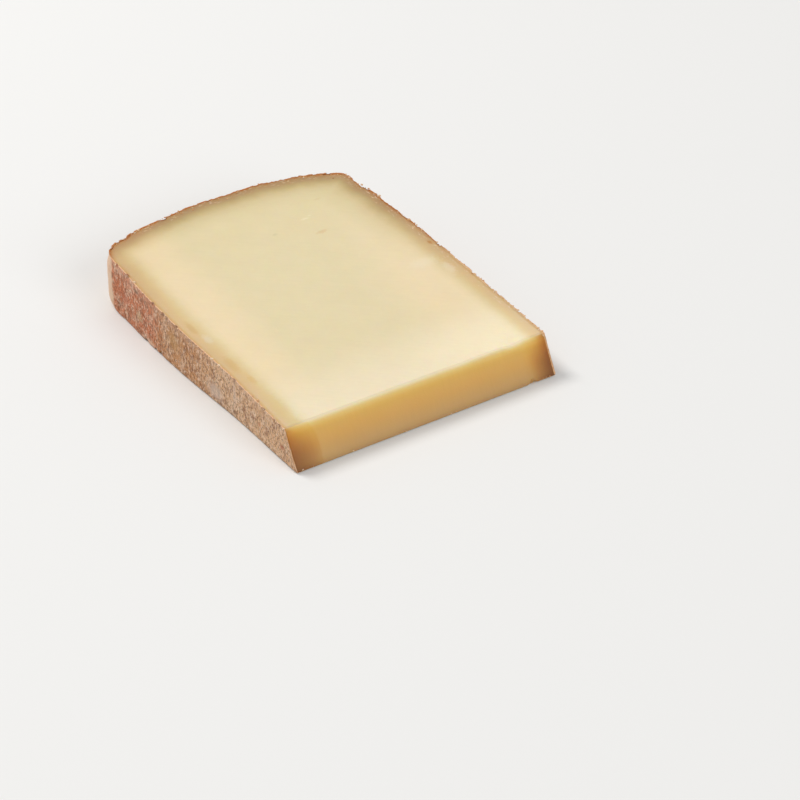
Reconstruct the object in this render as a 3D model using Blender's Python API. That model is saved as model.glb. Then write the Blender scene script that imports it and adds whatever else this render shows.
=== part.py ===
"""A slab of hard mountain cheese, cut out of a big round wheel.

The wheel's axle runs along X, on the floor and in front of the slab. Two cuts through the axle leave
a thin wedge, which lies on one of them. The wheel's two flat faces are the slab's left and right
sides, its rim is the heel at the back, and the pointed tip has been cut off at a slant.
Metres, +Z up, +Y from the tip to the heel, origin on the floor under the slab's middle.
"""

import math

import bmesh
import bpy
from mathutils import Matrix, Vector

NAME = "cheese_wedge"

# The wheel that the slab comes from
WHEEL_RADIUS = 0.3150
WHEEL_THICKNESS = 0.1014
WEDGE_ANGLE = math.radians(3.85)
WEDGE_STEPS = 6

# Where the tip is cut off, and how far that cut leans towards the heel
TIP_RADIUS = 0.1817
TIP_SLANT = math.radians(28.5)
INNER_RADIUS = 0.150

# How the wheel's section departs from a rectangle: the left face bulges, the right face draws in
# towards the rim, the rim is crowned, and the shoulders between them are round
LEFT_BULGE = 0.0014
RIGHT_TAPER = 0.0029
HEEL_CROWN = 0.0086
LEFT_SHOULDER = 0.0046
RIGHT_SHOULDER = 0.0034
CURVE_STEPS = 12

# Along each face, (how far from tip to rim, share of the bulge or the taper)
LEFT_FACE = [(0.10, 0.0), (0.25, 0.0), (0.56, 1.0), (0.80, 0.5)]
RIGHT_FACE = [(0.88, 0.95), (0.78, 0.45), (0.64, 0.17), (0.40, -0.04)]
# Across the rim, (how far from left to right, share of the crown that is lost there)
RIM = [(0.074, 0.80), (0.28, 0.22), (0.50, 0.0), (0.72, 0.13), (0.86, 0.57)]

# Bits broken out of the edges, as (across, along, up, width, depth, height) of a rounded bite.
# Across counts from the wheel's left face, along from the foot of the tip cut.
NICKS = {
    "heel_rim": (0.0264, 0.1319, 0.0214, 0.0021, 0.0017, 0.0016),
    "left_foot_back": (-0.0016, 0.0942, 0.0002, 0.0012, 0.0026, 0.0015),
    "left_foot_middle": (-0.0018, 0.0865, 0.0001, 0.0011, 0.0022, 0.0012),
    "tip_foot": (0.0917, 0.0002, 0.0004, 0.0017, 0.0014, 0.0018),
    "tip_corner": (-0.0004, 0.0008, 0.0002, 0.0014, 0.0024, 0.0022),
}

PASTE_COLOUR = (0.80, 0.67, 0.42, 1.0)
RIND_COLOUR = (0.46, 0.27, 0.15, 1.0)
CREASE = math.radians(40)


def clear_scene():
    for thing in list(bpy.data.objects):
        bpy.data.objects.remove(thing, do_unlink=True)


def new_collection(name):
    collection = bpy.data.collections.new(name)
    bpy.context.scene.collection.children.link(collection)
    return collection


def new_material(name, colour, roughness):
    material = bpy.data.materials.new(name)
    material.use_nodes = True
    shader = material.node_tree.nodes["Principled BSDF"]
    shader.inputs["Base Color"].default_value = colour
    shader.inputs["Roughness"].default_value = roughness
    shader.inputs["Metallic"].default_value = 0.0
    return material


def section_points():
    """The wheel's section from the left face round the rim to the right face, as (across, radius)."""
    length = WHEEL_RADIUS - TIP_RADIUS
    shoulder = WHEEL_RADIUS - HEEL_CROWN
    right_edge = WHEEL_THICKNESS - RIGHT_TAPER
    left = [(0.0, INNER_RADIUS)]
    left += [(-share * LEFT_BULGE, TIP_RADIUS + way * length) for way, share in LEFT_FACE]
    left_round = [
        (0.17 * LEFT_SHOULDER, shoulder - 0.74 * LEFT_SHOULDER),
        (0.72 * LEFT_SHOULDER, shoulder - 0.04 * LEFT_SHOULDER),
    ]
    rim = [(way * WHEEL_THICKNESS, WHEEL_RADIUS - lost * HEEL_CROWN) for way, lost in RIM]
    right_round = [
        (right_edge - 0.75 * RIGHT_SHOULDER, shoulder - 0.06 * RIGHT_SHOULDER),
        (right_edge - 0.05 * RIGHT_SHOULDER, shoulder - 1.02 * RIGHT_SHOULDER),
    ]
    right = [(WHEEL_THICKNESS - share * RIGHT_TAPER, TIP_RADIUS + way * length) for way, share in RIGHT_FACE]
    right += [(WHEEL_THICKNESS, INNER_RADIUS)]
    return left + left_round + rim + right_round + right


def section_outline():
    """The section's outline as a closed chain of points, read from one smooth curve."""
    points = section_points()
    data = bpy.data.curves.new("wheel_section", "CURVE")
    data.dimensions = "2D"
    data.fill_mode = "NONE"
    data.resolution_u = CURVE_STEPS
    spline = data.splines.new("BEZIER")
    spline.bezier_points.add(len(points) - 1)
    for knot, (across, radius) in zip(spline.bezier_points, points):
        knot.co = (across, radius, 0.0)
        knot.handle_left_type = "AUTO"
        knot.handle_right_type = "AUTO"
    spline.use_cyclic_u = True
    for knot in (spline.bezier_points[0], spline.bezier_points[-1]):
        knot.handle_left_type = "VECTOR"
        knot.handle_right_type = "VECTOR"
    guide = bpy.data.objects.new("wheel_section", data)
    bpy.context.scene.collection.objects.link(guide)
    smooth = guide.evaluated_get(bpy.context.evaluated_depsgraph_get())
    chain = bpy.data.meshes.new_from_object(smooth)
    outline = [vertex.co.copy() for vertex in chain.vertices]
    bpy.data.objects.remove(guide, do_unlink=True)
    bpy.data.meshes.remove(chain)
    return outline


def spun_wedge(name, collection, materials):
    """Turns the section about the wheel's axle through the wedge's angle and closes both cuts."""
    body = bmesh.new()
    ring = [body.verts.new(point) for point in section_outline()]
    edges = [body.edges.new((ring[i - 1], ring[i])) for i in range(len(ring))]
    bmesh.ops.spin(
        body, geom=ring + edges, cent=(0, 0, 0), axis=(1, 0, 0), dvec=(0, 0, 0),
        angle=WEDGE_ANGLE, steps=WEDGE_STEPS, use_duplicate=False,
    )
    for face in body.faces:
        face.material_index = 1
    bmesh.ops.holes_fill(body, edges=[edge for edge in body.edges if edge.is_boundary])
    bmesh.ops.recalc_face_normals(body, faces=body.faces)
    mesh = bpy.data.meshes.new(name)
    body.to_mesh(mesh)
    body.free()
    mesh.shade_smooth()
    mesh.set_sharp_from_angle(angle=CREASE)
    for material in materials:
        mesh.materials.append(material)
    wedge = bpy.data.objects.new(name, mesh)
    collection.objects.link(wedge)
    return wedge


def make_cutter(name, shape, collection):
    mesh = bpy.data.meshes.new(name)
    shape.to_mesh(mesh)
    shape.free()
    cutter = bpy.data.objects.new(name, mesh)
    cutter.display_type = "WIRE"
    cutter.hide_render = True
    collection.objects.link(cutter)
    return cutter


def tip_cutter(collection):
    """A box whose back face is the slanted cut that took the tip off."""
    depth = 2 * (TIP_RADIUS - INNER_RADIUS)
    lean = Matrix.Rotation(-TIP_SLANT, 3, "X")
    box = bmesh.new()
    bmesh.ops.create_cube(box, size=1.0)
    bmesh.ops.scale(box, vec=(2 * WHEEL_THICKNESS, depth, depth), verts=box.verts)
    bmesh.ops.translate(box, vec=(WHEEL_THICKNESS / 2, -depth / 2, 0), verts=box.verts)
    bmesh.ops.rotate(box, cent=(0, 0, 0), matrix=lean, verts=box.verts)
    bmesh.ops.translate(box, vec=(0, TIP_RADIUS, 0), verts=box.verts)
    return make_cutter("tip_cut", box, collection)


def nick_cutter(name, sizes, collection):
    """A flattened ball that bites a crumb out of an edge."""
    across, along, up, width, depth, height = sizes
    ball = bmesh.new()
    bmesh.ops.create_icosphere(ball, subdivisions=2, radius=1.0)
    bmesh.ops.scale(ball, vec=(width, depth, height), verts=ball.verts)
    bmesh.ops.translate(ball, vec=(across, TIP_RADIUS + along, up), verts=ball.verts)
    return make_cutter(name, ball, collection)


def cut(wedge, cutter):
    modifier = wedge.modifiers.new(cutter.name, "BOOLEAN")
    modifier.operation = "DIFFERENCE"
    modifier.solver = "EXACT"
    modifier.object = cutter


def stand_on_origin(wedge, cutters):
    """Moves the slab and its cutters so that the slab's box stands centred on the origin."""
    bpy.context.view_layer.update()
    shaped = wedge.evaluated_get(bpy.context.evaluated_depsgraph_get()).to_mesh()
    places = [vertex.co for vertex in shaped.vertices]
    low = Vector(min(place[axis] for place in places) for axis in range(3))
    high = Vector(max(place[axis] for place in places) for axis in range(3))
    shift = Vector((-(low.x + high.x) / 2, -(low.y + high.y) / 2, -low.z))
    for thing in [wedge, *cutters]:
        thing.data.transform(Matrix.Translation(shift))
    return high - low


def build():
    clear_scene()
    parts = new_collection(NAME)
    tools = new_collection("cutters")
    materials = [
        new_material("paste", PASTE_COLOUR, 0.45),
        new_material("rind", RIND_COLOUR, 0.85),
    ]
    wedge = spun_wedge(NAME, parts, materials)
    cutters = [tip_cutter(tools)]
    cutters += [nick_cutter(name, sizes, tools) for name, sizes in NICKS.items()]
    for cutter in cutters:
        cut(wedge, cutter)
    size = stand_on_origin(wedge, cutters)
    print("slab, mm:", [round(1000 * side, 1) for side in size])


build()
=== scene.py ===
# %% [markdown]
# # A slab of hard mountain cheese
#
# The slab is a thin wedge cut out of a big round wheel, lying on one of its two cut faces. Three
# things make it up: the pale paste, which shows on the cut faces, the dry mottled rind, which has
# grown on the wheel's flat faces and on its rim, and the crumbs that the knife left along the
# edges. The packed solid gives the shape, and this lesson gives the looks.

# %% Load the solid that everything is built around
import math

import bmesh
import bpy
import numpy as np
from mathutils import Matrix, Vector


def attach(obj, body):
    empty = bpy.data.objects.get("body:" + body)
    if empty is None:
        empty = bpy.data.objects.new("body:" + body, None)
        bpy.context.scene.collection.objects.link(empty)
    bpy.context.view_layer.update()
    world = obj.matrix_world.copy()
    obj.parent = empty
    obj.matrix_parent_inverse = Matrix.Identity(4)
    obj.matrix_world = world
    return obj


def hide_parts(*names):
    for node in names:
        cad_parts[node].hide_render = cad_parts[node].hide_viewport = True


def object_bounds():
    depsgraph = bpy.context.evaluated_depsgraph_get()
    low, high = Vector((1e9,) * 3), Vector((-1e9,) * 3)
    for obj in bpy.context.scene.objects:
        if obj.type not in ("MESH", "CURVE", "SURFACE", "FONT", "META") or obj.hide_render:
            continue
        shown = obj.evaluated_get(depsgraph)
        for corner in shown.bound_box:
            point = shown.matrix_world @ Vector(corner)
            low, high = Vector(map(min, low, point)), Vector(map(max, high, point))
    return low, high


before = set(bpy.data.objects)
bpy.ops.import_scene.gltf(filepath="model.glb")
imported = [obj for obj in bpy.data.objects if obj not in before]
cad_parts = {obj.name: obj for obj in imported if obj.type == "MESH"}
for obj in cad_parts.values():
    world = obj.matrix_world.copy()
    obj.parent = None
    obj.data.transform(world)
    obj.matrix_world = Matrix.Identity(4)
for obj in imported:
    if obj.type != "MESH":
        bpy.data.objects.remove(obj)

NODE = "cheese_wedge"
MM = 0.001
CAD_LOW, CAD_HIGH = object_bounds()
print("solid, mm:", [round(side / MM, 1) for side in CAD_HIGH - CAD_LOW])

# %% [markdown]
# ## The camera
#
# The picture was taken with a long lens from the tip's side, looking 34 degrees down. A focal
# length in pixels, over the picture's width in pixels, turns into millimetres on a 36 mm film.

# %% Camera at the photograph's angle
PICTURE_SIDE = 800
FOCAL_PIXELS = 2700
FILM_WIDTH = 36.0
LOOK_DOWN = math.radians(33.97)
HEADING = math.radians(33.83)
EYE = Vector((-0.40810, -0.65945, 0.49395))

camera_data = bpy.data.cameras.new("camera")
camera_data.sensor_width = FILM_WIDTH
camera_data.lens = FILM_WIDTH * FOCAL_PIXELS / PICTURE_SIDE
camera = bpy.data.objects.new("camera", camera_data)
camera.location = EYE
camera.rotation_euler = (math.pi / 2 - LOOK_DOWN, 0.0, -HEADING)
bpy.context.scene.collection.objects.link(camera)
bpy.context.scene.camera = camera
bpy.context.scene.view_settings.view_transform = "Standard"
print("lens, mm:", round(camera_data.lens, 1))

# %% [markdown]
# ## Floor and light
#
# A studio table: a pale floor, one soft lamp high up behind the slab on the left, which rakes over
# the left rind, and a big weak one in front that lifts the tip cut out of its shade. Both stand far
# off, so that the light is as strong at the tip as at the heel.

# %% Floor, lamps and sky
def colour(red, green, blue):
    """A colour read off a screen, from 0 to 255, as the linear values that Blender works in."""
    screen = np.array([red, green, blue]) / 255
    linear = np.where(screen <= 0.04045, screen / 12.92, ((screen + 0.055) / 1.055) ** 2.4)
    return (*linear.tolist(), 1.0)


def lamp(name, heading, distance, side, watts, tint=(1.0, 1.0, 1.0)):
    """A round soft lamp that stands at this heading from the slab and faces it."""
    data = bpy.data.lights.new(name, "AREA")
    data.shape = "DISK"
    data.size = side
    data.energy = watts
    data.color = tint
    light = bpy.data.objects.new(name, data)
    light.location = distance * Vector(heading).normalized()
    light.rotation_euler = (-Vector(heading)).to_track_quat("-Z", "Y").to_euler()
    bpy.context.scene.collection.objects.link(light)


FLOOR_SIDE = 8.0
FLOOR_GAP = 0.0003

bpy.ops.mesh.primitive_plane_add(size=FLOOR_SIDE, location=(0.0, 0.0, -FLOOR_GAP))
floor = bpy.context.object
floor.name = "floor"
floor_finish = bpy.data.materials.new("floor")
floor_finish.use_nodes = True
floor_shader = floor_finish.node_tree.nodes["Principled BSDF"]
floor_shader.inputs["Base Color"].default_value = (0.83, 0.83, 0.825, 1.0)
floor_shader.inputs["Roughness"].default_value = 0.7
floor.data.materials.append(floor_finish)

lamp("key", (-0.25, 0.70, 0.80), 2.4, 0.8, 33.0, (1.0, 0.985, 0.96))
lamp("fill", (0.15, -0.85, 0.50), 2.5, 1.5, 21.0)
sky = bpy.data.worlds.new("sky")
sky.use_nodes = True
sky.node_tree.nodes["Background"].inputs["Color"].default_value = (1.0, 0.995, 0.985, 1.0)
sky.node_tree.nodes["Background"].inputs["Strength"].default_value = 0.50
bpy.context.scene.world = sky

# %% [markdown]
# ## Reading the wheel off the solid
#
# The slab's shape follows one rule: a flat section is turned about the wheel's axle, from the
# lower cut to the upper one. So the lesson first reads that rule off the solid. The upper cut's
# tilt gives the wedge's angle and the axle, the front face gives the slant of the tip cut, and a
# level slice gives the section's outline from the tip round the rim and back to the tip.

# %% Measure the wedge
solid = bmesh.new()
solid.from_mesh(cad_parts[NODE].data)
bmesh.ops.remove_doubles(solid, verts=solid.verts, dist=1e-6)


def mean_plane(faces):
    """The area-weighted normal and centre of some faces."""
    normal = sum((face.normal * face.calc_area() for face in faces), Vector())
    centre = sum((face.calc_center_median() * face.calc_area() for face in faces), Vector())
    return normal.normalized(), centre / sum(face.calc_area() for face in faces)


upper_normal, upper_centre = mean_plane([face for face in solid.faces if face.normal.z > 0.95])
tip_normal, tip_centre = mean_plane(
    [face for face in solid.faces if face.normal.y < -0.8 and face.normal.z > 0.4]
)
WEDGE_ANGLE = math.atan2(-upper_normal.y, upper_normal.z)
AXLE_Y = upper_centre.y - upper_centre.z / math.tan(WEDGE_ANGLE)
TIP_SLANT = math.atan2(tip_normal.z, -tip_normal.y)
TIP_RADIUS = CAD_LOW.y - AXLE_Y
print("wedge angle:", round(math.degrees(WEDGE_ANGLE), 2), "tip slant:", round(math.degrees(TIP_SLANT), 1))
print("tip radius, mm:", round(TIP_RADIUS / MM, 1))

# %% Slice it for the section's outline
SLICE_HEIGHT = 0.005
OUTLINE_POINTS = 600


def slice_chain(shape, height):
    """The closed chain of points where a level plane cuts the solid."""
    geometry = shape.verts[:] + shape.edges[:] + shape.faces[:]
    cut = bmesh.ops.bisect_plane(shape, geom=geometry, plane_co=(0, 0, height), plane_no=(0, 0, 1))
    mates = {}
    for edge in cut["geom_cut"]:
        if isinstance(edge, bmesh.types.BMEdge):
            for end in edge.verts:
                mates.setdefault(end, []).append(edge.other_vert(end))
    chain = [next(iter(mates))]
    before = None
    while True:
        onward = [mate for mate in mates[chain[-1]] if mate is not before]
        before = chain[-1]
        if onward[0] is chain[0]:
            break
        chain.append(onward[0])
    return np.array([(end.co.x, end.co.y) for end in chain])


def side_chain(level):
    """The slice's points from the tip along the left face, round the rim and back along the right."""
    level = np.roll(level, -int(np.argmin(level[:, 0] + level[:, 1])), axis=0)
    if np.argmax(level[:, 1] - level[:, 0]) > np.argmax(level[:, 1] + level[:, 0]):
        level = np.roll(level[::-1], 1, axis=0)
    return level[: int(np.argmax(level[:, 0] - level[:, 1])) + 1]


def evenly(points, count):
    """The same path with its points the same distance apart."""
    steps = np.linalg.norm(np.diff(points, axis=0), axis=1)
    way = np.concatenate([[0.0], np.cumsum(steps)])
    spots = np.linspace(0.0, way[-1], count)
    return np.stack([np.interp(spots, way, points[:, axis]) for axis in range(2)], axis=1)


side = side_chain(slice_chain(solid, SLICE_HEIGHT))
solid.free()
outline = np.stack([side[:, 0], np.hypot(side[:, 1] - AXLE_Y, SLICE_HEIGHT)], axis=1)
outline[0, 1] = TIP_RADIUS
outline[-1, 1] = TIP_RADIUS
outline = evenly(outline, OUTLINE_POINTS)
outline_length = float(np.linalg.norm(np.diff(outline, axis=0), axis=1).sum())
WHEEL_RADIUS = float(outline[:, 1].max())
LEFT_SHOULDER = float(np.argmax(outline[:, 1] - outline[:, 0])) / OUTLINE_POINTS
RIGHT_SHOULDER = float(np.argmax(outline[:, 1] + outline[:, 0])) / OUTLINE_POINTS
print("rind's length, mm:", round(outline_length / MM, 1), "wheel radius, mm:", round(WHEEL_RADIUS / MM, 1))
print("shoulders at", round(LEFT_SHOULDER, 3), "and", round(RIGHT_SHOULDER, 3), "of the way round")

# %% [markdown]
# ## The upper rim
#
# The knife tore the upper rim a little: along the heel and the right face it wavers by some tenths
# of a millimetre. So there are two outlines, the even one of the solid for the foot and an uneven
# one for the upper rim, and the faces between them go from the one to the other.

# %% Make the uneven outline
# Along the heel, (across, outward), and along the right face, (along, outward), in millimetres
HEEL_WAVER = [
    (-48, 0.0), (-45, 0.0), (-40, -0.28), (-37, 0.3), (-32, 0.0), (-29, -0.08), (-20, -0.15), (-18, -0.24),
    (-13, 0.13), (-10, -0.13), (-8, 0.12), (-5, 0.02), (-1, -0.31), (1, -0.23), (3.5, -0.55), (5, -0.41),
    (8, -0.23), (12, -0.39), (14, 0.0), (18, 0.07), (20, -0.3), (23, -0.39), (26, -0.22), (28, -0.46),
    (31, 0.49), (33, 0.36), (34, -0.09), (37, 0.29), (40, 0.15), (41.5, -0.28), (44, -0.3), (46, 0.0),
]
RIGHT_WAVER = [
    (-50, 0.0), (-38, 0.15), (-31, -0.1), (-22, 0.2), (-14, -0.1), (-6, 0.15), (2, -0.15), (9, 0.2),
    (14, 0.0), (18, 0.32), (20, 0.16), (22, -0.2), (25, -0.1), (28, -0.3), (31, -0.45), (33, -0.48),
    (35.5, 0.0), (37, 0.43), (38, 0.0), (41, 0.1), (44, -0.2), (45, -0.67), (47, -0.8), (50, -0.39),
    (54, -0.29), (56, 0.0),
]


def outward_of(points):
    """For each point of the outline, the direction away from the section's inside."""
    along = np.gradient(points, axis=0)
    along /= np.linalg.norm(along, axis=1)[:, None]
    return np.stack([-along[:, 1], along[:, 0]], axis=1)


def inset(points, depth):
    """The outline moved towards the inside of the section."""
    return points - depth * outward_of(points)


def wavered(points):
    """The outline with the rim's unevenness."""
    across = points[:, 0] / MM
    along = (points[:, 1] * math.cos(WEDGE_ANGLE) + AXLE_Y) / MM
    heel = np.interp(across, *np.array(HEEL_WAVER).T)
    right = np.interp(along, *np.array(RIGHT_WAVER).T)
    way = np.linspace(0.0, 1.0, len(points))
    waver = np.where(way < LEFT_SHOULDER, 0.0, np.where(way < RIGHT_SHOULDER, heel, right))
    return points + MM * waver[:, None] * outward_of(points)


rim_outline = wavered(outline)
print("the rim wavers by up to", round(float(np.abs(rim_outline - outline).max()) / MM, 2), "mm")

# %% [markdown]
# ## Guide curves
#
# Geometry Nodes can read a place off a curve with Sample Curve, so the outlines go into curve
# objects. The rind follows one spline for the foot and one for the rim. The paste starts a little
# further in, and it needs four sides to hang a grid between, so each of its outlines is split in
# three where the shoulders turn 45 degrees.

# %% Draw the guides
RIND_SHOWN = 0.0006


def guide(name, paths):
    """A curve object with one straight-stepped spline for each path."""
    data = bpy.data.curves.new(name, "CURVE")
    data.dimensions = "3D"
    for path in paths:
        spline = data.splines.new("POLY")
        spline.points.add(len(path) - 1)
        for point, place in zip(spline.points, path):
            point.co = (*place, 0.0, 1.0) if len(place) == 2 else (*place, 1.0)
    drawn = bpy.data.objects.new(name, data)
    bpy.context.scene.collection.objects.link(drawn)
    return drawn


def in_three(edge):
    """The left side, the heel and the right side of the paste's outline."""
    left_turn = int(np.argmax(edge[:, 1] - edge[:, 0]))
    right_turn = int(np.argmax(edge[:, 1] + edge[:, 0]))
    return [edge[: left_turn + 1], edge[left_turn : right_turn + 1], edge[: right_turn - 1 : -1]]


foot_edge = inset(outline, RIND_SHOWN)
rim_edge = foot_edge + rim_outline - outline
rind_guide = guide("rind_guide", [outline, rim_outline])
paste_guide = guide("paste_guide", in_three(foot_edge) + in_three(rim_edge))
print("guides drawn, points:", len(outline), "on each outline")

# %% [markdown]
# ## Words for building node trees
#
# A node tree written out node by node is long and hard to follow. This small class turns each node
# into one call that returns the socket with its result, so a tree reads like a formula. It serves
# Geometry Nodes and materials alike, since most of the maths nodes are the same in both.

# %% A node tree as a set of formulas
class Nodes:
    """Adds nodes to a tree. Every call returns the output socket of the node that it added."""

    def __init__(self, tree):
        self.tree = tree

    def add(self, kind, sockets=None, result=0, **settings):
        node = self.tree.nodes.new(kind)
        for name, value in settings.items():
            setattr(node, name, value)
        for key, value in (sockets or {}).items():
            self.feed(node.inputs[key], value)
        return node.outputs[result]

    def feed(self, socket, value):
        if isinstance(value, bpy.types.NodeSocket):
            self.tree.links.new(value, socket)
        elif value is not None:
            socket.default_value = value

    def math(self, operation, *values, clamp=False):
        sockets = dict(enumerate(values))
        return self.add("ShaderNodeMath", sockets, operation=operation, use_clamp=clamp)

    def total(self, *values):
        whole = values[0]
        for value in values[1:]:
            whole = self.math("ADD", whole, value)
        return whole

    def product(self, *values):
        whole = values[0]
        for value in values[1:]:
            whole = self.math("MULTIPLY", whole, value)
        return whole

    def vector(self, operation, *values, result=0):
        return self.add("ShaderNodeVectorMath", dict(enumerate(values)), result, operation=operation)

    def scaled(self, vector, factor):
        return self.add("ShaderNodeVectorMath", {0: vector, "Scale": factor}, operation="SCALE")

    def length(self, vector):
        return self.vector("LENGTH", vector, result="Value")

    def join(self, x, y, z):
        return self.add("ShaderNodeCombineXYZ", {0: x, 1: y, 2: z})

    def part(self, vector, axis):
        return self.add("ShaderNodeSeparateXYZ", {0: vector}, result="XYZ".index(axis))

    def between(self, factor, low, high):
        """Goes straight from low to high as factor goes from 0 to 1."""
        return self.add("ShaderNodeMix", {0: factor, 2: low, 3: high}, clamp_factor=False)

    def vector_between(self, factor, low, high):
        sockets = {0: factor, 4: low, 5: high}
        return self.add("ShaderNodeMix", sockets, 1, data_type="VECTOR", clamp_factor=False)

    def tint(self, factor, low, high, mode="MIX"):
        """Mixes two colours."""
        sockets = {0: factor, 6: low, 7: high}
        return self.add("ShaderNodeMix", sockets, 2, data_type="RGBA", blend_type=mode)

    def fade(self, value, start, end, low=0.0, high=1.0):
        """Goes smoothly from low to high while value goes from start to end, and stays there."""
        sockets = {"Value": value, 1: start, 2: end, 3: low, 4: high}
        return self.add("ShaderNodeMapRange", sockets, interpolation_type="SMOOTHSTEP", clamp=True)

    def noise(self, place, size, detail=2.0, roughness=0.5):
        """Soft random hills about as wide as size, in the units of place, around 0.5."""
        sockets = {"Vector": place, "Scale": 1.0 / size, "Detail": detail, "Roughness": roughness}
        return self.add("ShaderNodeTexNoise", sockets)

    def hills(self, place, size, height, detail=2.0, roughness=0.5):
        """Noise about 0, as high as height."""
        centred = self.math("SUBTRACT", self.noise(place, size, detail, roughness), 0.5)
        return self.math("MULTIPLY", centred, 2.0 * height)

    def elsewhere(self, place, shift):
        """The same place in another part of the noise, so that two patterns don't agree."""
        return self.vector("ADD", place, (shift, 2.3 * shift, 1.7 * shift))

    def ramp(self, value, span, stops):
        """A colour that changes along stops of (value, colour), of which the last is at span."""
        node = self.tree.nodes.new("ShaderNodeValToRGB")
        marks = node.color_ramp.elements
        while len(marks) < len(stops):
            marks.new(1.0)
        for mark, (position, paint) in zip(marks, stops):
            mark.position = position / span
            mark.color = paint
        self.feed(node.inputs[0], self.math("DIVIDE", value, span))
        return node.outputs[0]


print("words:", [word for word in vars(Nodes) if not word.startswith("_")])

# %% [markdown]
# ## From a node tree to a plain mesh
#
# Each Geometry Nodes tree has named inputs. A modifier knows them by identifier, so the names are
# looked up first and the values set before the tree runs for the first time. What it made is then
# copied into a plain mesh, and the modifier goes.

# %% Run a tree
SOCKET_KINDS = {
    "count": "NodeSocketInt", "size": "NodeSocketFloat",
    "object": "NodeSocketObject", "material": "NodeSocketMaterial",
}


def new_tree(name, inputs):
    """A Geometry Nodes tree with named inputs, and the sockets that carry their values."""
    tree = bpy.data.node_groups.new(name, "GeometryNodeTree")
    tree.interface.new_socket("Geometry", in_out="OUTPUT", socket_type="NodeSocketGeometry")
    for kind, titles in inputs.items():
        for title in titles:
            tree.interface.new_socket(title, in_out="INPUT", socket_type=SOCKET_KINDS[kind])
    entry = tree.nodes.new("NodeGroupInput")
    given = {title: entry.outputs[title] for titles in inputs.values() for title in titles}
    return tree, Nodes(tree), given


def end_tree(tree, nodes, geometry, material):
    """Realizes what the tree made, sets its material and hands it out."""
    real = nodes.add("GeometryNodeRealizeInstances", {"Geometry": geometry})
    dressed = nodes.add("GeometryNodeSetMaterial", {"Geometry": real, "Material": material})
    leave = tree.nodes.new("NodeGroupOutput")
    tree.links.new(dressed, leave.inputs[0])
    return tree


def store(nodes, geometry, values):
    """Keeps these values with the mesh, for its material."""
    for name, value in values.items():
        sockets = {"Geometry": geometry, "Name": name, "Value": value}
        geometry = nodes.add("GeometryNodeStoreNamedAttribute", sockets)
    return geometry


def grow(name, tree, values):
    """Runs a tree with these input values and returns its result as an object with a plain mesh."""
    piece = bpy.data.objects.new(name, bpy.data.meshes.new(name))
    bpy.context.scene.collection.objects.link(piece)
    modifier = piece.modifiers.new(tree.name, "NODES")
    modifier.node_group = tree
    identifiers = {
        item.name: item.identifier for item in tree.interface.items_tree if item.in_out == "INPUT"
    }
    for title, value in values.items():
        modifier[identifiers[title]] = value
    sight = bpy.context.evaluated_depsgraph_get()
    mesh = bpy.data.meshes.new_from_object(
        piece.evaluated_get(sight), preserve_all_data_layers=True, depsgraph=sight
    )
    piece.modifiers.remove(modifier)
    piece.data = mesh
    mesh.name = name
    check = bmesh.new()
    check.from_mesh(mesh)
    volume = check.calc_volume(signed=True) / MM**3 / 1000
    open_edges = sum(1 for edge in check.edges if not edge.is_manifold)
    check.free()
    triangles = sum(len(face.vertices) - 2 for face in mesh.polygons)
    print(name, "has", triangles, "triangles,", round(volume, 2), "cubic cm,", open_edges, "open edges")
    return piece


# %% [markdown]
# ## Bites out of the edges
#
# The knife broke bits out of the edges. Each is a small ball: whatever lies inside it is pushed out
# to its skin. The balls' centres are the points of one small mesh, which also carries their sizes,
# and both the rind and the paste are bitten by the same balls, so they still meet. A bite is given
# by its width and depth, which say how big its ball is and how far out it stands.

# %% Place the bites
# Bites that can be told apart: (across, along, width, depth) in millimetres
RIM_BITES = {
    "heel notch": (-23.3, 64.2, 3.6, 1.15),
    "heel corner": (42.4, 60.0, 2.0, 0.5),
    "right corner": (48.4, 50.5, 2.6, 0.6),
    "right chip": (51.2, 1.2, 2.6, 0.7),
    "left chip": (-51.3, 20.4, 1.8, 0.7),
    "left chip front": (-50.4, -30.0, 1.6, 0.4),
}
FOOT_BITES = {
    "foot notch": (-51.5, 17.3, 3.2, 1.0),
    "foot notch middle": (-51.5, 20.6, 2.6, 0.8),
    "foot notch back": (-51.5, 27.0, 3.4, 0.9),
}
# Two at the tip's foot: (across, along, up, radius)
TIP_BITES = [(42.2, -68.1, 0.2, 2.2), (-51.2, -66.6, -0.3, 1.5)]
CHIP_COUNT = 80
CHIP_SEED = 7


def raised(section, angle):
    """Where the section's outline lies once it is turned about the axle by this angle."""
    along = AXLE_Y + section[:, 1] * math.cos(angle)
    return np.stack([section[:, 0], along, section[:, 1] * math.sin(angle)], axis=1)


top_rim = raised(rim_outline, WEDGE_ANGLE)
foot_rim = raised(outline, 0.0)
TIP_CUT_RADIUS = TIP_RADIUS / (math.cos(WEDGE_ANGLE) - math.sin(WEDGE_ANGLE) * math.tan(TIP_SLANT))
behind_cut = np.flatnonzero(rim_outline[:, 1] > TIP_CUT_RADIUS + MM)


def ball(rim, index, width, depth):
    """The centre and radius of a ball that takes this bite out of the rim."""
    radius = ((width / 2) ** 2 + depth**2) / (2 * depth)
    outward = (radius - depth) * outward_of(outline)[index]
    return [rim[index, 0] + outward[0], rim[index, 1] + outward[1], rim[index, 2], radius]


def placed_bites(rim, bites):
    """A ball for each bite, at the place on the rim that is nearest to it."""
    rows = []
    for across, along, width, depth in np.array(list(bites.values())) * MM:
        index = int(np.argmin(np.hypot(rim[:, 0] - across, rim[:, 1] - along)))
        rows.append(ball(rim, index, width, depth))
    return rows


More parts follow.
